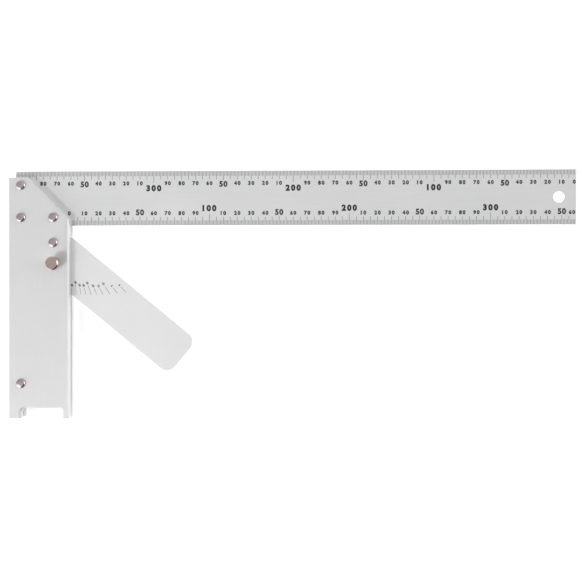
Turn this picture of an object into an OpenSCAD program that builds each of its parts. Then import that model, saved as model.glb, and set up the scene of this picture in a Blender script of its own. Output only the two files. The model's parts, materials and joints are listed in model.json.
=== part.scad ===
// Carpenter's square: a slotted stock, a long rule blade set at 90 degrees and a pivoting angle arm.
// X runs along the blade away from the stock, Y runs up the stock, Z comes out of its front face.
// The origin is the inner corner: the working edge (X = 0), the blade's lower edge (Y = 0) and the
// stock's back face (Z = 0).

/* [Blade] */
// Length of the rule, from the inside of the stock's spine to its free end
blade_length = 400; // [300:10:500]
// Height of the rule
blade_height = 39; // [36:1:44]
// Thickness of the rule
blade_t = 1.5; // [1:0.1:2]
// Diameter of the hanging hole
hang_d = 8; // [5:0.5:10]
// Distance from the free end to the middle of the hanging hole
hang_inset = 12; // [10:1:25]

/* [Stock] */
// Width of the stock, from its spine to its working edge
stock_w = 43; // [43:1:46]
// Thickness of the stock
stock_t = 15; // [13:0.5:18]
// Height of the stock above the blade's lower edge
stock_above = 34; // [33:0.5:35]
// Length of the stock below the blade's lower edge
stock_below = 138; // [138:1:150]
// Depth of the slot, from the working edge to the spine
slot_depth = 40; // [38:0.5:40]
// Side of the 45 degree mitre at the top corner
mitre = 29.5; // [26:0.5:29.5]
// Bevel along the long outer edges
edge_bevel = 0.3; // [0.1:0.05:0.3]

/* [Finger notch] */
// Width of the notch in the foot of the stock
notch_w = 30; // [24:1:30]
// Depth of the notch
notch_depth = 7.3; // [6.5:0.1:9]
// Distance from the working edge to the notch
notch_inset = 4.4; // [4:0.1:5]
// Radius of the notch's two inner corners
notch_r = 3.5; // [2:0.1:5]

/* [Arm] */
// Distance from the pivot to the arm's tip
arm_reach = 122.8; // [100:0.2:123]
// Distance from the pivot to the arm's upper edge
arm_upper = 10.7; // [8:0.1:10.7]
// Distance from the pivot to the arm's lower edge
arm_lower = 21.3; // [18:0.1:21.3]
// Thickness of the arm
arm_t = 1.5; // [1:0.1:1.6]
// Radius of the two corners at the tip
arm_tip_r = 7.5; // [3:0.5:9]
// Angle between the arm and the stock as stored (0 is folded away)
arm_open = 50.6; // [0:0.2:60]
// Gap on each side of the arm in its slot, filled by a washer at the pivot
arm_gap = 0.3; // [0.3:0.05:0.5]

/* [Pivot and rivets] */
// Distance from the working edge to the arm's pivot
pivot_inset = 11; // [11:0.1:12]
// Distance from the blade's lower edge down to the arm's pivot
pivot_drop = 12.6; // [12.4:0.1:13.5]
// Diameter of a rivet's head
rivet_head_d = 6.9; // [6:0.1:7.5]
// Height of a rivet's head
rivet_head_h = 1.8; // [1.2:0.1:2.2]
// Diameter of a blade rivet's or the pivot's shank
rivet_d = 4; // [3:0.1:4.5]
// Diameter of the stop rivet's shank
stop_d = 3.5; // [3:0.1:3.5]
// Distance from the working edge to the left-hand rivets
left_inset = 34.3; // [34.3:0.1:34.8]
// Diameter of the pivot washers
washer_d = 11; // [9:0.5:12]

// Distance from the stock's top down to its top rivet
top_rivet_drop = 5.6; // [4.5:0.1:8]
// Height of the two lower blade rivets above the blade's lower edge
blade_rivet_rise = 5.4; // [4:0.1:6]
// Distance from the blade's lower edge down to the stop rivet
stop_drop = 113; // [100:1:120]

/* [Lock screw] */
// Distance from the working edge to the lock screw
lock_inset = 9.5; // [9:0.1:14]
// Distance from the blade's lower edge down to the lock screw
lock_drop = 27.5; // [26:0.1:32]
// Diameter of the screw's thread
screw_d = 5; // [4:0.5:6]
// Diameter of the screw's head
screw_head_d = 9.6; // [8:0.2:11]
// Height of the screw's head
screw_head_h = 6; // [4:0.2:7]
// Gap between the head and the stock when the arm is locked
screw_gap = 4.5; // [0.5:0.1:6]
// Thickness of the brass pad between the screw and the arm
pad_t = 1.4; // [1:0.1:2]

/* [Hidden] */
$fn = 48;

aluminium = [0.83, 0.84, 0.84];
steel = [0.86, 0.86, 0.86];
nickel = [0.66, 0.61, 0.62];
nylon = [0.93, 0.93, 0.90];
brass = [0.80, 0.66, 0.36];

// A little more than any wall, so a cut leaves no skin
over = 1;
// Running fit on the radius of the arm's bore and of the lock screw's thread
run_fit = 0.05;
// Where the slot narrows from the arm's width to the blade's
slot_step = -0.4;

mid_z = stock_t / 2;
spine_x = -slot_depth;
arm_slot_t = arm_t + 2 * arm_gap;
arm_face_z = mid_z + arm_t / 2;
pivot = [-pivot_inset, -pivot_drop];
right_x = -pivot_inset;
left_x = -left_inset;
hang_at = [blade_length - slot_depth - hang_inset, blade_height / 2];

blade_rivet_top_at = [left_x, stock_above - top_rivet_drop];
blade_rivet_outer_at = [left_x, blade_rivet_rise];
blade_rivet_inner_at = [right_x, blade_rivet_rise];
stop_at = [left_x, -stop_drop];
lock_at = [-lock_inset, -lock_drop];

// Radius of the heel's outer corner
heel_r = 6;

notch_top = notch_depth - stock_below;
notch_right = -notch_inset;
notch_left = notch_right - notch_w;

// A plate's worth of thickness centred on the middle of the stock
module mid_plate(thickness) {
  translate([0, 0, mid_z - thickness / 2]) linear_extrude(height = thickness) children();
}

module bore(at, d, z0 = -over, z1 = stock_t + over) {
  translate([at[0], at[1], z0]) cylinder(d = d, h = z1 - z0);
}

// One rivet through the whole stock: a shank and the same low button head at each end
module rivet(at, d) {
  translate([at[0], at[1], 0]) cylinder(d = d, h = stock_t);
  translate([at[0], at[1], stock_t]) rivet_head();
  translate([at[0], at[1], 0]) mirror([0, 0, 1]) rivet_head();
}

module rivet_head() {
  shoulder = 1.3;
  r = rivet_head_d / 2;
  rotate_extrude() union() {
    square([r - shoulder, rivet_head_h]);
    square([r, rivet_head_h - shoulder]);
    intersection() {
      translate([r - shoulder, rivet_head_h - shoulder]) circle(r = shoulder);
      square([r, rivet_head_h]);
    }
  }
}

// The stock's outline in X and Z, drawn out along Y, then mitred
module stock_bar() {
  b = edge_bevel;
  intersection() {
    translate([0, stock_above, 0]) rotate([90, 0, 0]) linear_extrude(height = stock_above + stock_below)
      polygon([
        [b - stock_w, 0], [-b, 0], [0, b], [0, stock_t - b],
        [-b, stock_t], [b - stock_w, stock_t], [-stock_w, stock_t - b], [-stock_w, b]
      ]);
    translate([0, 0, -over]) linear_extrude(height = stock_t + 2 * over)
      polygon([
        [-stock_w - over, -stock_below - over], [over, -stock_below - over],
        [over, stock_above - mitre - over], [-mitre - over, stock_above + over],
        [-stock_w - over, stock_above + over]
      ]);
  }
}

module notch_cut() {
  translate([0, 0, -over]) linear_extrude(height = stock_t + 2 * over) union() {
    translate([notch_left, -stock_below - over]) square([notch_w, notch_depth + over - notch_r]);
    translate([notch_left + notch_r, -stock_below - over]) square([notch_w - 2 * notch_r, notch_depth + over]);
    for (x = [notch_left + notch_r, notch_right - notch_r]) {
      translate([x, notch_top - notch_r]) circle(r = notch_r);
    }
  }
}

module stock() {
  color(aluminium) difference() {
    stock_bar();
    // the blade's slot, closed up on to the blade, and the wider slot that the arm swings in
    mid_plate(blade_t) translate([spine_x, slot_step - over]) square([slot_depth + over, stock_above + 2 * over]);
    mid_plate(arm_slot_t) translate([spine_x, -stock_below - over])
      square([slot_depth + over, stock_below + over + slot_step]);
    notch_cut();
    for (at = [blade_rivet_top_at, blade_rivet_outer_at, blade_rivet_inner_at, pivot]) {
      bore(at, rivet_d);
    }
    bore(stop_at, stop_d);
    bore(lock_at, screw_d + 2 * run_fit, z0 = mid_z);
  }
}

module blade() {
  color(steel) difference() {
    mid_plate(blade_t) translate([spine_x, 0]) square([blade_length, blade_height]);
    bore(hang_at, hang_d);
    for (at = [blade_rivet_top_at, blade_rivet_outer_at, blade_rivet_inner_at]) {
      bore(at, rivet_d);
    }
  }
}

module blade_rivet_top() {
  color(nickel) rivet(blade_rivet_top_at, rivet_d);
}

module blade_rivet_outer() {
  color(nickel) rivet(blade_rivet_outer_at, rivet_d);
}

module blade_rivet_inner() {
  color(nickel) rivet(blade_rivet_inner_at, rivet_d);
}

module pivot_rivet() {
  color(nickel) rivet(pivot, rivet_d);
}

module stop_rivet() {
  color(nickel) rivet(stop_at, stop_d);
}

module washer(z) {
  color(nylon) translate([pivot[0], pivot[1], z]) difference() {
    cylinder(d = washer_d, h = arm_gap);
    translate([0, 0, -over]) cylinder(d = rivet_d, h = arm_gap + 2 * over);
  }
}

module washer_front() {
  washer(arm_face_z);
}

module washer_back() {
  washer(mid_z - arm_t / 2 - arm_gap);
}

// The arm folded away, about its pivot: two long edges, a rounded tip and a rounded heel that stays
// below the blade at every angle
module arm_outline() {
  difference() {
    union() {
      translate([-arm_lower, arm_tip_r - arm_reach])
        square([arm_lower + arm_upper, arm_reach - arm_tip_r]);
      translate([arm_tip_r - arm_lower, -arm_reach])
        square([arm_lower + arm_upper - 2 * arm_tip_r, arm_reach]);
      for (x = [arm_tip_r - arm_lower, arm_upper - arm_tip_r]) {
        translate([x, arm_tip_r - arm_reach]) circle(r = arm_tip_r);
      }
      circle(r = arm_upper);
      translate([heel_r - arm_lower, -over]) square([arm_lower - heel_r, arm_upper + over]);
      translate([-arm_lower, -over]) square([arm_lower, arm_upper - heel_r + over]);
      translate([heel_r - arm_lower, arm_upper - heel_r]) circle(r = heel_r);
    }
    circle(d = rivet_d + 2 * run_fit);
  }
}

module protractor_arm() {
  color(steel) translate([pivot[0], pivot[1], 0]) rotate([0, 0, arm_open])
    mid_plate(arm_t) arm_outline();
}

module lock_pad() {
  color(brass) translate([lock_at[0], lock_at[1], arm_face_z]) cylinder(d = screw_d, h = pad_t);
}

// A round chamfered head on a plain neck and a thread, shown as its outer cylinder
module lock_screw() {
  chamfer = 0.75;
  head_r = screw_head_d / 2;
  head_z = stock_t + screw_gap;
  color(nickel) translate([lock_at[0], lock_at[1], 0]) union() {
    translate([0, 0, arm_face_z + pad_t]) cylinder(d = screw_d, h = head_z - arm_face_z - pad_t);
    translate([0, 0, head_z]) rotate_extrude()
      polygon([
        [0, 0], [head_r - chamfer / 2, 0], [head_r, chamfer / 2], [head_r, screw_head_h - chamfer],
        [head_r - chamfer, screw_head_h], [0, screw_head_h]
      ]);
  }
}

stock();
blade();
blade_rivet_top();
blade_rivet_outer();
blade_rivet_inner();
pivot_rivet();
stop_rivet();
washer_front();
washer_back();
protractor_arm();
lock_pad();
lock_screw();
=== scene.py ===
import json
import math

import bmesh
import bpy
from mathutils import Matrix, Vector


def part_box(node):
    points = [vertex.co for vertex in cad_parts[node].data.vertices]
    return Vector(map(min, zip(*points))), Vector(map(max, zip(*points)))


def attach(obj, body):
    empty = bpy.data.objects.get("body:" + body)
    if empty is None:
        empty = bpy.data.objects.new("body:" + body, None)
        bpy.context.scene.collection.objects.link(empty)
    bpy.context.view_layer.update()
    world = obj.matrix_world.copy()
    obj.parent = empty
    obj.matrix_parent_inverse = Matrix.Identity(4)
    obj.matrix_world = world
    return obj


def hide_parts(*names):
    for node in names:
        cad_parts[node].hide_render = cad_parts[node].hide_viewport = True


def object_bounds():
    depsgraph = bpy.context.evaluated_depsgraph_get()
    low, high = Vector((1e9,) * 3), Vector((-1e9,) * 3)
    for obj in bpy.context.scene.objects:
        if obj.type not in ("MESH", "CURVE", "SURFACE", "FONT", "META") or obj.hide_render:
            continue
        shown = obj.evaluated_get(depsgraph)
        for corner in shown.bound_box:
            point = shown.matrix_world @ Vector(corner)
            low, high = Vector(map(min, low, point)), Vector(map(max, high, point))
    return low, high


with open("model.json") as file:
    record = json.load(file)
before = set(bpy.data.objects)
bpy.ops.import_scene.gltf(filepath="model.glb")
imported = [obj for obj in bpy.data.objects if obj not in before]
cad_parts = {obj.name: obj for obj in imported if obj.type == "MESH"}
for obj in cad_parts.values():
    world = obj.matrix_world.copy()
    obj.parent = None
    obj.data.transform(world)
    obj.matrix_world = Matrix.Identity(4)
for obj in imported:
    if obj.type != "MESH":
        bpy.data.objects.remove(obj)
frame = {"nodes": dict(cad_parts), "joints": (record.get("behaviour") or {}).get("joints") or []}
cad_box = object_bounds()

# Outlines are drawn in millimetres and made into meshes in metres.
MM = 0.001


def in_mm(v):
    return [c / MM for c in v]


def box_mm(node):
    """A node's lowest and highest corners at rest, in millimetres."""
    return [in_mm(corner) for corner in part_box(node)]


def middle(node):
    low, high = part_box(node)
    return in_mm((low + high) / 2)


# ---------------------------------------------------------------- sizes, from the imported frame
stock_low, stock_high = box_mm("stock")
blade_low, blade_high = box_mm("blade")
arm_low, arm_high = box_mm("protractor_arm")
screw_low, screw_high = box_mm("lock_screw")
JOINTS = {j["name"]: j for j in frame["joints"]}
PIVOT = in_mm(JOINTS["arm_swing"]["pos_m"])
# The arm's angle from the stock at rest: it is folded away at its lower limit
ARM_OPEN = -JOINTS["arm_swing"]["range_deg"][0]
BLADE_FACE = blade_high[2]
BLADE_TOP = blade_high[1]
MID_Z = (stock_low[2] + stock_high[2]) / 2

# The rest repeats the part's own dimensions.
MITRE = 29.5
NOTCH_WIDTH = 30.0
NOTCH_DEPTH = 7.3
NOTCH_INSET = 4.4
NOTCH_RADIUS = 3.5
SLOT_FLOOR = -40.0
SLOT_STEP = -0.4
ARM_SLOT = 2.1
ARM_UPPER = 10.7
ARM_LOWER = 21.3
ARM_REACH = 122.8
ARM_TIP_RADIUS = 7.5
HEEL_RADIUS = 6.0
RUN_FIT = 0.05
RIVET_RADIUS = 2.0
STOP_RADIUS = 1.75
SCREW_RADIUS = 2.5
SCREW_HEAD = 6.0
HANG_RADIUS = 4.0
HANG_INSET = 12.0
# The blade's rivets come first, because their bores go through the blade too.
RIVET_BORES = [
    ("blade_rivet_top", RIVET_RADIUS),
    ("blade_rivet_outer", RIVET_RADIUS),
    ("blade_rivet_inner", RIVET_RADIUS),
    ("pivot_rivet", RIVET_RADIUS),
    ("stop_rivet", STOP_RADIUS),
]
BLADE_RIVETS = 3
# How far a cutting shape reaches past what it cuts
OVER = 1.0
BORE_STEPS = 48


# ---------------------------------------------------------------- mesh helpers
def add_object(name, data):
    """Puts a mesh, curve, text, light or camera in the scene."""
    obj = bpy.data.objects.new(name, data)
    bpy.context.scene.collection.objects.link(obj)
    return obj


def evaluated_mesh(obj):
    """A new mesh of what an object's curve, text or modifiers come to."""
    bpy.context.view_layer.update()
    return bpy.data.meshes.new_from_object(obj.evaluated_get(bpy.context.evaluated_depsgraph_get()))


def set_shading(mesh, angle=40):
    """Smooth across small angles, with the large flat faces kept flat."""
    mesh.set_sharp_from_angle(angle=math.radians(angle))
    flat = 0.999999
    for face in mesh.polygons:
        face.use_smooth = max(abs(c) for c in face.normal) < flat


def arc(cx, cy, radius, start, end, steps):
    """Points on an arc, its two ends included, in degrees."""
    points = []
    for i in range(steps + 1):
        a = math.radians(start + (end - start) * i / steps)
        points.append((cx + radius * math.cos(a), cy + radius * math.sin(a)))
    return points


def circle(cx, cy, radius, steps=64):
    return arc(cx, cy, radius, 0, 360, steps)[:-1]


def hole(cx, cy, radius, steps=64):
    """A circle drawn the other way round, so that its rim is rounded outwards."""
    return circle(cx, cy, radius, steps)[::-1]


def plate_mesh(name, loops, low, high, rim=0.0, rim_steps=3):
    """A flat plate with the given outer outline and holes, from low to high, rounded by rim."""
    curve = bpy.data.curves.new(name, "CURVE")
    curve.dimensions = "2D"
    curve.fill_mode = "BOTH"
    curve.extrude = (high - low) / 2 - rim
    curve.bevel_depth = rim
    curve.bevel_resolution = rim_steps
    curve.offset = -rim
    for loop in loops:
        spline = curve.splines.new("POLY")
        spline.points.add(len(loop) - 1)
        for point, (x, y) in zip(spline.points, loop):
            point.co = (x, y, 0, 1)
        spline.use_cyclic_u = True
    holder = add_object(name + "_outline", curve)
    mesh = evaluated_mesh(holder)
    bpy.data.objects.remove(holder)
    bpy.data.curves.remove(curve)
    mesh.name = name
    mesh.transform(Matrix.Translation((0, 0, (low + high) / 2)))
    weld(mesh)
    return mesh


def weld(mesh, distance=0.0005):
    """Joins points that coincide, and turns every face outwards."""
    bm = bmesh.new()
    bm.from_mesh(mesh)
    bmesh.ops.remove_doubles(bm, verts=bm.verts, dist=distance)
    bmesh.ops.recalc_face_normals(bm, faces=bm.faces)
    bm.to_mesh(mesh)
    bm.free()


def lathe_mesh(name, profile, segments=64, ripple=None):
    """Turns a (radius, height) profile about Z. ripple(i, k) changes the radius of ring k at segment i."""
    verts, faces, rings = [], [], []
    for k, (r, z) in enumerate(profile):
        if r == 0:
            rings.append([len(verts)])
            verts.append((0, 0, z))
            continue
        ring = []
        for i in range(segments):
            a = 2 * math.pi * i / segments
            radius = r + (ripple(i, k) if ripple else 0)
            ring.append(len(verts))
            verts.append((radius * math.cos(a), radius * math.sin(a), z))
        rings.append(ring)
    for lower, upper in zip(rings, rings[1:]):
        for i in range(segments):
            j = (i + 1) % segments
            if len(lower) == 1:
                faces.append((lower[0], upper[j], upper[i]))
            elif len(upper) == 1:
                faces.append((lower[i], lower[j], upper[0]))
            else:
                faces.append((lower[i], lower[j], upper[j], upper[i]))
    mesh = bpy.data.meshes.new(name)
    mesh.from_pydata(verts, [], faces)
    weld(mesh)
    return mesh


def cut(mesh, tool, operation="DIFFERENCE"):
    """mesh with tool taken away, or only what both hold, as a new mesh."""
    body = add_object("cut_body", mesh)
    cutter = add_object("cut_tool", tool)
    modifier = body.modifiers.new("cut", "BOOLEAN")
    modifier.operation = operation
    modifier.solver = "EXACT"
    modifier.object = cutter
    result = evaluated_mesh(body)
    name = mesh.name
    bpy.data.objects.remove(body)
    bpy.data.objects.remove(cutter)
    bpy.data.meshes.remove(mesh)
    bpy.data.meshes.remove(tool)
    result.name = name
    return result


def block_mesh(name, low, high):
    x0, y0, z0 = low
    x1, y1, z1 = high
    return plate_mesh(name, [[(x0, y0), (x1, y0), (x1, y1), (x0, y1)]], z0, z1)


def finish_piece(name, mesh, body, material, node=None, angle=40):
    """Scales the mesh to metres, and makes it a piece that rides on a body and stands for a node."""
    mesh.transform(Matrix.Scale(MM, 4))
    set_shading(mesh, angle)
    mesh.materials.clear()
    mesh.materials.append(material)
    mesh.update()
    piece = add_object(name, mesh)
    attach(piece, body)
    if node:
        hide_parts(node)
    return piece


# ---------------------------------------------------------------- materials
def new_material(name):
    material = bpy.data.materials.new(name)
    material.use_nodes = True
    tree = material.node_tree
    return material, tree, tree.nodes["Principled BSDF"]


def noise(tree, scale, stretch=(1, 1, 1), detail=3.0, roughness=0.5):
    """A noise in the object's own space, in metres. A large stretch makes it finer along that axis."""
    place = tree.nodes.new("ShaderNodeTexCoord")
    mapping = tree.nodes.new("ShaderNodeMapping")
    mapping.inputs["Scale"].default_value = stretch
    texture = tree.nodes.new("ShaderNodeTexNoise")
    texture.inputs["Scale"].default_value = scale
    texture.inputs["Detail"].default_value = detail
    texture.inputs["Roughness"].default_value = roughness
    tree.links.new(place.outputs["Object"], mapping.inputs["Vector"])
    tree.links.new(mapping.outputs["Vector"], texture.inputs["Vector"])
    return texture.outputs["Fac"]


# Most of a noise's values lie between these two.
NOISE_LOW = 0.3
NOISE_HIGH = 0.7


def remap(tree, value, low, high):
    """The noise's usual range, spread over low to high."""
    node = tree.nodes.new("ShaderNodeMapRange")
    node.inputs["From Min"].default_value = NOISE_LOW
    node.inputs["From Max"].default_value = NOISE_HIGH
    node.inputs["To Min"].default_value = low
    node.inputs["To Max"].default_value = high
    tree.links.new(value, node.inputs["Value"])
    return node.outputs["Result"]


def math_node(tree, operation, a, b):
    node = tree.nodes.new("ShaderNodeMath")
    node.operation = operation
    for socket, value in zip(node.inputs, (a, b)):
        if isinstance(value, (int, float)):
            socket.default_value = value
        else:
            tree.links.new(value, socket)
    return node.outputs[0]


def tint(tree, value, dark, light):
    """A colour between dark and light."""
    ramp = tree.nodes.new("ShaderNodeValToRGB")
    ramp.color_ramp.elements[0].position = NOISE_LOW
    ramp.color_ramp.elements[0].color = (*dark, 1)
    ramp.color_ramp.elements[1].position = NOISE_HIGH
    ramp.color_ramp.elements[1].color = (*light, 1)
    tree.links.new(value, ramp.inputs["Fac"])
    return ramp.outputs["Color"]


def weighted(tree, a, share, b):
    """a and b mixed, with a's share given."""
    first = math_node(tree, "MULTIPLY", a, share)
    second = math_node(tree, "MULTIPLY", b, 1 - share)
    return math_node(tree, "ADD", first, second)


def brushed_metal(
    name, dark, light, rough, grain_scale, grain_stretch, metallic=1.0, bump=0.15, bump_mm=0.01
):
    """Satin metal: fine grain along one way, slow clouding of tone and roughness, and handling marks."""
    material, tree, shader = new_material(name)
    grain = noise(tree, grain_scale, grain_stretch, detail=6, roughness=0.65)
    cloud = noise(tree, 22, detail=3)
    smudge = noise(tree, 95, (1.0, 1.3, 1.0), detail=4, roughness=0.7)
    tone = weighted(tree, grain, 0.6, cloud)
    tree.links.new(tint(tree, tone, dark, light), shader.inputs["Base Color"])
    uneven = weighted(tree, smudge, 0.5, grain)
    tree.links.new(remap(tree, uneven, rough[0], rough[1]), shader.inputs["Roughness"])
    relief = tree.nodes.new("ShaderNodeBump")
    relief.inputs["Strength"].default_value = bump
    relief.inputs["Distance"].default_value = bump_mm * MM
    tree.links.new(grain, relief.inputs["Height"])
    tree.links.new(relief.outputs["Normal"], shader.inputs["Normal"])
    shader.inputs["Metallic"].default_value = metallic
    return material


def plain_detail(name, dark, light, rough, scale, metallic=0.0, bump=0.1, bump_mm=0.01):
    """A fine even-grained finish, such as ink, nylon or turned brass."""
    return brushed_metal(name, dark, light, rough, scale, (1, 1, 1), metallic, bump, bump_mm)


STOCK_METAL = brushed_metal(
    "satin_anodised_aluminium", (0.80, 0.80, 0.80), (0.86, 0.86, 0.86),
    rough=(0.50, 0.62), grain_scale=60, grain_stretch=(30, 0.6, 30), metallic=0.45, bump=0.12,
)
BLADE_METAL = brushed_metal(
    "satin_ground_steel", (0.82, 0.825, 0.825), (0.91, 0.91, 0.91),
    rough=(0.48, 0.60), grain_scale=60, grain_stretch=(0.5, 40, 40), metallic=0.45, bump=0.12,
)
ARM_METAL = brushed_metal(
    "satin_arm_steel", (0.89, 0.89, 0.89), (0.96, 0.96, 0.96),
    rough=(0.48, 0.60), grain_scale=60, grain_stretch=(12, 12, 12), metallic=0.45, bump=0.10,
)
RIVET_METAL = brushed_metal(
    "nickel_plate", (0.57, 0.49, 0.51), (0.70, 0.61, 0.63),
    rough=(0.16, 0.26), grain_scale=900, grain_stretch=(1, 1, 1), bump=0.06, bump_mm=0.004,
)
SCREW_METAL = brushed_metal(
    "nickel_plate_turned", (0.58, 0.46, 0.43), (0.68, 0.55, 0.52),
    rough=(0.18, 0.30), grain_scale=700, grain_stretch=(1, 1, 1), bump=0.08, bump_mm=0.005,
)
INK = plain_detail(
    "etched_black", (0.012, 0.012, 0.013), (0.035, 0.035, 0.036),
    rough=(0.45, 0.65), scale=1500,
)
NYLON = plain_detail(
    "natural_nylon", (0.78, 0.78, 0.74), (0.86, 0.86, 0.82),
    rough=(0.45, 0.6), scale=600,
)
BRASS = plain_detail(
    "turned_brass", (0.62, 0.45, 0.18), (0.74, 0.56, 0.25),
    rough=(0.25, 0.4), scale=700, metallic=1.0,
)


# ---------------------------------------------------------------- the stock
def notch_outline(grow):
    """The finger notch's outline, wider all round by grow, open past the stock's foot."""
    foot = stock_low[1] - OVER
    right = -NOTCH_INSET + grow
    left = -NOTCH_INSET - NOTCH_WIDTH - grow
    top = stock_low[1] + NOTCH_DEPTH + grow
    r = NOTCH_RADIUS + grow * 0.5
    return [
        (left, foot), (right, foot),
        *arc(right - r, top - r, r, 0, 90, 10),
        *arc(left + r, top - r, r, 90, 180, 10),
    ]


def loft_mesh(name, rings):
    """A closed solid through outlines of the same number of points, each at its own height."""
    verts, faces = [], []
    count = len(rings[0][0])
    for outline, z in rings:
        verts += [(x, y, z) for x, y in outline]
    for k in range(len(rings) - 1):
        for i in range(count):
            j = (i + 1) % count
            faces.append((k * count + i, k * count + j, (k + 1) * count + j, (k + 1) * count + i))
    faces.append(tuple(reversed(range(count))))
    faces.append(tuple((len(rings) - 1) * count + i for i in range(count)))
    mesh = bpy.data.meshes.new(name)
    mesh.from_pydata(verts, [], faces)
    weld(mesh)
    return mesh


def stock_section():
    """The bar's section in X and Z: crowned and chamfered at the working edge, rounded at the spine."""
    x0, x1 = stock_low[0], stock_high[0]
    z0, z1 = stock_low[2], stock_high[2]
    crown_w, crown_h, chamfer, spine_r = 2.2, 0.06, 0.75, 0.6
    points = []
    for i in range(7):
        t = i / 6
        points.append((x1 - crown_w + (crown_w - chamfer) * t, z1 - crown_h * t * t))
    points.append((x1, z1 - crown_h - chamfer))
    points += [(x, z0 + z1 - z) for x, z in reversed(points)]
    points += arc(x0 + spine_r, z0 + spine_r, spine_r, 270, 180, 6)
    points += arc(x0 + spine_r, z1 - spine_r, spine_r, 180, 90, 6)
    return points


def stock_bar():
    """The extrusion cut to length and mitred, before its slots and holes."""
    x0, y0, z0 = stock_low
    x1, y1, z1 = stock_high
    outline = [
        (x0 - OVER, y0), (x1 + OVER, y0), (x1 + OVER, y1 - MITRE - OVER), (x1 - MITRE, y1), (x0 - OVER, y1),
    ]
    mesh = plate_mesh("stock_body", [outline], z0, z1, rim=0.25)
    section = plate_mesh("stock_section", [stock_section()], y0 - OVER, y1 + OVER)
    section.transform(Matrix.Rotation(math.radians(90), 4, "X"))
    section.transform(Matrix.Translation((0, y0 + y1, 0)))
    return cut(mesh, section, "INTERSECT")


def slot_block(name, y0, y1, thickness):
    """What a slot takes out of the stock, from its working edge to the slot's floor."""
    low = (SLOT_FLOOR, y0, MID_Z - thickness / 2)
    high = (OVER, y1, MID_Z + thickness / 2)
    return block_mesh(name, low, high)


def notch_block():
    """The finger notch, with its edges flared at both faces."""
    z0, z1 = stock_low[2], stock_high[2]
    flare, flare_depth = 1.2, 0.9
    straight, wide = notch_outline(0), notch_outline(flare)
    return loft_mesh("notch", [
        (wide, z0 - OVER), (wide, z0), (straight, z0 + flare_depth),
        (straight, z1 - flare_depth), (wide, z1), (wide, z1 + OVER),
    ])


def screw_hole():
    """The lock screw's hole, from the arm's slot to a countersink at the front face."""
    x, y, _ = middle("lock_screw")
    top = stock_high[2]
    radius = SCREW_RADIUS + RUN_FIT
    countersink = 0.5
    straight = circle(x, y, radius, BORE_STEPS)
    wide = circle(x, y, radius + countersink + OVER, BORE_STEPS)
    return loft_mesh("screw_hole", [(straight, MID_Z), (straight, top - countersink), (wide, top + OVER)])


def make_stock():
    y0, y1 = stock_low[1], stock_high[1]
    tools = [
        slot_block("blade_slot", SLOT_STEP - OVER, y1 + OVER, blade_high[2] - blade_low[2]),
        slot_block("arm_slot", y0 - OVER, SLOT_STEP, ARM_SLOT),
        notch_block(),
    ]
    for node, radius in RIVET_BORES:
        x, y, _ = middle(node)
        bore = circle(x, y, radius, BORE_STEPS)
        tools.append(plate_mesh("bore", [bore], stock_low[2] - OVER, stock_high[2] + OVER))
    tools.append(screw_hole())
    mesh = stock_bar()
    for tool in tools:
        mesh = cut(mesh, tool)
    return finish_piece("stock_body", mesh, "square", STOCK_METAL, "stock", angle=25)


# ---------------------------------------------------------------- the blade and the arm
def make_blade():
    x0, y0, z0 = blade_low
    x1, y1, z1 = blade_high
    loops = [
        [(x0, y0), (x1, y0), (x1, y1), (x0, y1)],
        hole(x1 - HANG_INSET, (y0 + y1) / 2, HANG_RADIUS, 72),
    ]
    for node, radius in RIVET_BORES[:BLADE_RIVETS]:
        x, y, _ = middle(node)
        loops.append(hole(x, y, radius, BORE_STEPS))
    mesh = plate_mesh("blade_rule", loops, z0, z1, rim=0.12, rim_steps=2)
    return finish_piece("blade_rule", mesh, "square", BLADE_METAL, "blade")


def make_arm():
    """Drawn folded away about its pivot, then turned to its angle at rest."""
    r = ARM_TIP_RADIUS
    outline = [
        *arc(ARM_UPPER - r, r - ARM_REACH, r, 0, -90, 16),
        *arc(r - ARM_LOWER, r - ARM_REACH, r, 270, 180, 16),
        *arc(HEEL_RADIUS - ARM_LOWER, ARM_UPPER - HEEL_RADIUS, HEEL_RADIUS, 180, 90, 12),
        *arc(0, 0, ARM_UPPER, 90, 0, 20),
    ]
    bore = hole(0, 0, RIVET_RADIUS + RUN_FIT, BORE_STEPS)
    mesh = plate_mesh("angle_arm", [outline, bore], arm_low[2], arm_high[2], rim=0.14, rim_steps=2)
    turn = Matrix.Rotation(math.radians(ARM_OPEN), 4, "Z")
    mesh.transform(Matrix.Translation((PIVOT[0], PIVOT[1], 0)) @ turn)
    return finish_piece("angle_arm", mesh, "arm", ARM_METAL, "protractor_arm")


# ---------------------------------------------------------------- rivets and the lock screw
def head_profile(radius, height, face):
    """A button head's outline, edge to middle: a low wall, a round shoulder and a crowned top."""
    wall, crown = 0.2, 0.08
    shoulder = height - wall - crown
    points = [(radius, face), *arc(radius - shoulder, face + wall, shoulder, 0, 90, 8)]
    flat = radius - shoulder
    points += [(flat * 0.66, face + height - crown * 0.35), (flat * 0.33, face + height - crown * 0.08)]
    points.append((0, face + height))
    return points


def tail_profile(radius, height, face):
    """The peened end at the back: a dome with the punch's shallow dimple in its middle."""
    steps, last_angle = 8, 80
    fullness = 0.7
    points = [(radius, face)]
    for i in range(steps + 1):
        a = math.radians(last_angle * i / steps)
        points.append((radius * math.cos(a) ** fullness, face - height * math.sin(a)))
    dimple_radius, dimple_depth = 0.5, 0.25
    points += [(dimple_radius, face - height + 0.12), (0, face - height + dimple_depth)]
    return points


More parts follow.
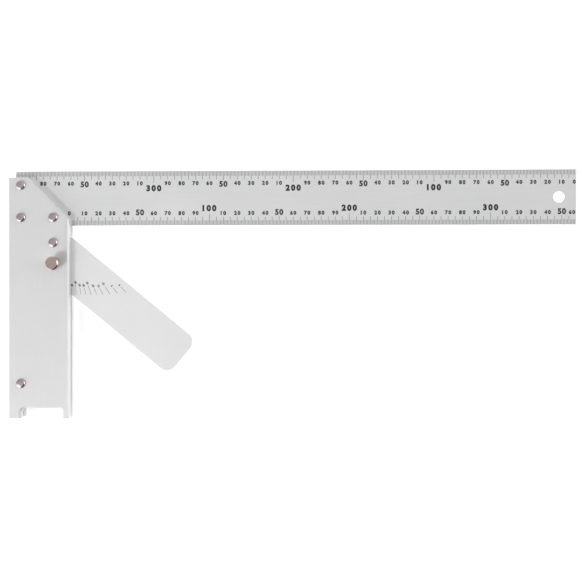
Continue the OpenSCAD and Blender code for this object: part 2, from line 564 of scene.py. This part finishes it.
def make_rivet(node, shank):
    low, high = box_mm(node)
    x, y, _ = middle(node)
    radius = (high[0] - low[0]) / 2
    height = high[2] - stock_high[2]
    peen_inset = 0.15
    front = head_profile(radius, height, stock_high[2])
    back = tail_profile(radius - peen_inset, height, stock_low[2])
    profile = [*reversed(back), (shank, stock_low[2]), (shank, stock_high[2]), *front]
    mesh = lathe_mesh(node + "_turned", profile)
    mesh.transform(Matrix.Translation((x, y, 0)))
    return finish_piece(node + "_turned", mesh, "square", RIVET_METAL, node, angle=35)


def thread_profile(low, high):
    """The screw's tip and its turned rings, from low up to high."""
    pitch, groove, tip = 0.8, 0.22, 0.3
    points = [(0, low), (SCREW_RADIUS - tip, low)]
    z = low + tip
    while z + pitch < high - tip:
        crest_end, root = z + pitch * 0.3, z + pitch * 0.65
        points += [(SCREW_RADIUS, z), (SCREW_RADIUS, crest_end), (SCREW_RADIUS - groove, root)]
        z += pitch
    points += [(SCREW_RADIUS, z), (SCREW_RADIUS, high)]
    return points


def make_lock_screw():
    """Threads under a round head with a knurled side and a chamfered top."""
    x, y, _ = middle("lock_screw")
    radius = (screw_high[0] - screw_low[0]) / 2
    top = screw_high[2]
    under = top - SCREW_HEAD
    chamfer, foot_chamfer, knurl = 0.75, 0.35, 0.14
    plain_edge = 0.25
    profile = thread_profile(screw_low[2], under)
    profile.append((radius - foot_chamfer, under))
    first = len(profile)
    profile += [
        (radius, under + foot_chamfer), (radius, under + foot_chamfer + plain_edge),
        (radius, top - chamfer - plain_edge), (radius, top - chamfer),
        (radius - chamfer, top), (radius - chamfer - 0.4, top), (0, top),
    ]
    knurled = (first + 1, first + 2)

    def ripple(i, k):
        return -knurl if k in knurled and i % 2 else 0

    name = "lock_screw_turned"
    mesh = lathe_mesh(name, profile, 112, ripple)
    mesh.transform(Matrix.Translation((x, y, 0)))
    return finish_piece(name, mesh, "lock", SCREW_METAL, "lock_screw", angle=30)


# ---------------------------------------------------------------- graduations and numbers
# The ink stands this far proud of its face, and starts a little below it.
INK_LOW = -0.01
INK_HIGH = 0.02


class Marks:
    """Collects thin raised marks, in millimetres, on a face at one height."""

    def __init__(self, face):
        self.face = face
        self.verts = []
        self.faces = []

    def add(self, points, faces):
        start = len(self.verts)
        self.verts += points
        self.faces += [tuple(start + i for i in face) for face in faces]

    def bar(self, a, b, width):
        """A line from a to b, as a low box."""
        a, b = Vector(a), Vector(b)
        side = (b - a).normalized().orthogonal() * width / 2
        corners = [a - side, b - side, b + side, a + side]
        low = [(c.x, c.y, self.face + INK_LOW) for c in corners]
        high = [(c.x, c.y, self.face + INK_HIGH) for c in corners]
        sides = [(i, (i + 1) % 4, (i + 1) % 4 + 4, i + 4) for i in range(4)]
        self.add(low + high, [(4, 5, 6, 7), (3, 2, 1, 0), *sides])

    def number(self, text, at, height, weight, spacing=1.1, turn=0.0):
        """A number centred on a place, height tall, made heavier by weight and turned by degrees."""
        verts, faces = glyphs(text, height, weight, spacing)
        centre = (at[0], at[1], self.face + (INK_LOW + INK_HIGH) / 2)
        place = Matrix.Translation(centre) @ Matrix.Rotation(math.radians(turn), 4, "Z")
        self.add([tuple(place @ Vector(v)) for v in verts], faces)

    def mesh(self, name):
        mesh = bpy.data.meshes.new(name)
        mesh.from_pydata(self.verts, [], self.faces)
        return mesh


# Blender's built-in figures are this tall at size 1.
FIGURE_HEIGHT = 0.72
_glyphs = {}


def glyphs(text, height, weight, spacing):
    """The vertices and faces of a number, centred on the origin, from Blender's own built-in face."""
    key = (text, height, weight, spacing)
    if key not in _glyphs:
        curve = bpy.data.curves.new("digits", "FONT")
        curve.body = text
        curve.size = height / FIGURE_HEIGHT
        curve.space_character = spacing
        curve.offset = weight
        curve.extrude = (INK_HIGH - INK_LOW) / 2
        curve.resolution_u = 4
        holder = add_object("digits", curve)
        mesh = evaluated_mesh(holder)
        bpy.data.objects.remove(holder)
        bpy.data.curves.remove(curve)
        weld(mesh)
        xs = [v.co.x for v in mesh.vertices]
        ys = [v.co.y for v in mesh.vertices]
        zs = [v.co.z for v in mesh.vertices]
        cx, cy, cz = ((min(c) + max(c)) / 2 for c in (xs, ys, zs))
        # the weight made the figures taller than they should be
        k = height / (max(ys) - min(ys))
        _glyphs[key] = (
            [((v.co.x - cx) * k, (v.co.y - cy) * k, v.co.z - cz) for v in mesh.vertices],
            [tuple(p.vertices) for p in mesh.polygons],
        )
        bpy.data.meshes.remove(mesh)
    return _glyphs[key]


def tick_length(mm):
    """The hundreds, the fifties, the fives and the single millimetres each have their own length."""
    if mm % 100 == 0:
        return 8.4
    if mm % 50 == 0:
        return 6.8
    if mm % 5 == 0:
        return 6.1
    return 3.6


def label_style(mm):
    """Height, weight, letter spacing, and distance of the number's middle from the blade's edge."""
    if mm % 100 == 0:
        return 4.6, 0.42, 1.42, 12.3
    if mm % 50 == 0:
        return 4.3, 0.29, 1.15, 9.4
    return 3.0, 0.25, 1.38, 8.8


def mitre_hides(x, y):
    """True where the stock's front wall covers the blade."""
    return x < 0 and y < stock_high[1] and x + y < stock_high[1] - MITRE


def label(mm):
    """Hundreds in full, and the other tens by their last two digits."""
    return str(mm) if mm % 100 == 0 else str(mm % 100)


def make_scales():
    """The upper scale counts from the free end, and the lower one from the stock's working edge."""
    marks = Marks(BLADE_FACE)
    end = blade_high[0]
    length = round(end - blade_low[0])
    width, margin = 0.24, 0.2
    for mm in range(1, length):
        x = end - mm
        bottom = BLADE_TOP - tick_length(mm)
        if x < 0:
            # stops at the stock's front wall
            bottom = max(bottom, min(stock_high[1], stock_high[1] - MITRE - x) + margin)
        marks.bar((x, bottom), (x, BLADE_TOP - margin), width)
        if mm % 10 == 0:
            height, weight, spacing, inset = label_style(mm)
            y = BLADE_TOP - inset
            if not mitre_hides(x - height, y - height / 2):
                marks.number(label(mm), (x, y), height, weight, spacing)
    for mm in range(1, round(end)):
        marks.bar((mm, margin), (mm, tick_length(mm)), width)
        if mm % 10 == 0:
            height, weight, spacing, inset = label_style(mm)
            marks.number(label(mm), (mm, inset), height, weight, spacing)
    # The numbers at the scales' ends stand a little to one side, clear of the stock and the blade's end.
    small, weight, spacing, inset = label_style(10)
    marks.number("0", (-1.2, inset), small, weight)
    marks.number("0", (end - 1.3, BLADE_TOP - inset), small, weight)
    marks.number(label(round(end)), (end - 2.9, inset), small, weight, spacing)
    return finish_piece("blade_scales", marks.mesh("blade_scales"), "square", INK)


def make_arm_marks():
    """Ten lines for 0 to 45 degrees, each with its number on the side of the pivot."""
    marks = Marks(arm_high[2])
    pivot = Vector(PIVOT[:2])
    # Each line is this far to the right of the pivot once the arm is turned to make it upright.
    reach = 12.6
    upright_at = 43.5
    # The lines' feet lie at this height, and rise towards the line for 0 degrees.
    level, rise, last = -37.0, 1.8, 45
    short, long, width = 5.0, 7.0, 0.22
    height, weight, gap = 1.5, 0.12, 1.8
    for angle in range(0, last + 1, 5):
        lean = math.radians(upright_at - angle)
        across = Vector((math.cos(lean), math.sin(lean)))
        along = Vector((math.sin(lean), -math.cos(lean)))
        foot_y = level + rise * (1 - angle / last) ** 6
        down = (reach * math.sin(lean) - foot_y) / math.cos(lean)
        foot = across * reach + along * down
        head = foot - along * (long if angle in (10, 25, 40) else short)
        place = head - along * gap
        outward = math.degrees(math.atan2(place.y, place.x))
        marks.bar(tuple(pivot + head), tuple(pivot + foot), width)
        marks.number(str(angle), tuple(pivot + place), height, weight, turn=outward)
    return finish_piece("arm_marks", marks.mesh("arm_marks"), "arm", INK)


# ---------------------------------------------------------------- light, floor and camera
def make_floor(height):
    """A large pale floor that glows a little, so that it stays white around the object."""
    half = 6.0
    corners = [(-half, -half, height), (half, -half, height), (half, half, height), (-half, half, height)]
    mesh = bpy.data.meshes.new("floor")
    mesh.from_pydata(corners, [], [(0, 1, 2, 3)])
    material, _, shader = new_material("pale_floor")
    shader.inputs["Base Color"].default_value = (0.85, 0.85, 0.85, 1)
    shader.inputs["Roughness"].default_value = 0.9
    shader.inputs["Specular IOR Level"].default_value = 0.1
    shader.inputs["Emission Color"].default_value = (1, 1, 1, 1)
    shader.inputs["Emission Strength"].default_value = 0.50
    mesh.materials.append(material)
    floor = add_object("floor", mesh)


def mix_values(tree, amount, a, b):
    """a where amount is 0 and b where it is 1."""
    blend = tree.nodes.new("ShaderNodeMix")
    blend.data_type = "FLOAT"
    tree.links.new(amount, blend.inputs[0])
    if isinstance(a, float):
        blend.inputs[2].default_value = a
    else:
        tree.links.new(a, blend.inputs[2])
    blend.inputs[3].default_value = b
    return blend.outputs[0]


def lobe(tree, view, direction, outer, inner):
    """1 around a direction, fading out between two cosines of the angle from it."""
    dot = tree.nodes.new("ShaderNodeVectorMath")
    dot.operation = "DOT_PRODUCT"
    dot.inputs[1].default_value = Vector(direction).normalized()
    tree.links.new(view, dot.inputs[0])
    edge = tree.nodes.new("ShaderNodeMapRange")
    edge.interpolation_type = "SMOOTHSTEP"
    edge.inputs["From Min"].default_value = outer
    edge.inputs["From Max"].default_value = inner
    tree.links.new(dot.outputs["Value"], edge.inputs["Value"])
    return edge.outputs["Result"]


def make_world():
    """An even pale studio: bright overhead, at the lower left and at the right, dark at the lower right."""
    world = bpy.data.worlds.new("studio")
    bpy.context.scene.world = world
    world.use_nodes = True
    tree = world.node_tree
    background = tree.nodes["Background"]
    view = tree.nodes.new("ShaderNodeTexCoord").outputs["Generated"]
    level = 0.47
    # Each wall's direction, its outer and inner cosines, and its brightness
    walls = [
        ((0.60, 0.15, 0.78), 0.45, 1.0, 0.70),
        ((0.62, -0.74, 0.32), 0.52, 0.76, 0.02),
        ((-0.72, -0.69, 0.28), 0.78, 0.93, 2.2),
        ((0.97, 0.14, 0.18), 0.89, 0.97, 3.4),
    ]
    for direction, outer, inner, wall_level in walls:
        level = mix_values(tree, lobe(tree, view, direction, outer, inner), level, wall_level)
    seen_level = 0.95
    path = tree.nodes.new("ShaderNodeLightPath")
    level = mix_values(tree, path.outputs["Is Camera Ray"], level, seen_level)
    tree.links.new(level, background.inputs["Strength"])
    background.inputs["Color"].default_value = (1, 1, 1, 1)


def make_key_light():
    """One large soft light from the lower left, well above the object."""
    direction, distance = (-0.76, -0.65, 1.43), 5.0
    target = (0.10, -0.04, 0.0075)
    light = bpy.data.lights.new("key", "AREA")
    light.shape = "RECTANGLE"
    light.size = light.size_y = 0.95
    light.energy = 48
    holder = add_object("key", light)
    aim = Vector(direction).normalized()
    holder.location = Vector(target) + aim * distance
    holder.rotation_euler = aim.to_track_quat("Z", "Y").to_euler()


def make_camera():
    """Looks down on the front face from 0.7 m, turned 2 degrees towards the stock."""
    data = bpy.data.cameras.new("camera")
    data.sensor_width = 36.0
    data.lens = 60.3
    data.clip_start = 0.01
    camera = add_object("camera", data)
    yaw = 0.0349
    distance = 0.700
    aim = Vector((0.15948, -0.04809, MID_Z * MM))
    camera.location = aim + Vector((math.sin(yaw), 0, math.cos(yaw))) * distance
    camera.rotation_euler = (0, yaw, 0)
    bpy.context.scene.camera = camera


make_stock()
make_blade()
make_arm()
for node, shank in RIVET_BORES:
    make_rivet(node, shank)
make_lock_screw()
make_scales()
make_arm_marks()
for node, material in (("washer_front", NYLON), ("washer_back", NYLON), ("lock_pad", BRASS)):
    for place in frame["nodes"][node].material_slots:
        place.material = material

make_floor(cad_box[0].z)
make_world()
make_key_light()
make_camera()
bpy.context.scene.view_settings.view_transform = "Standard"
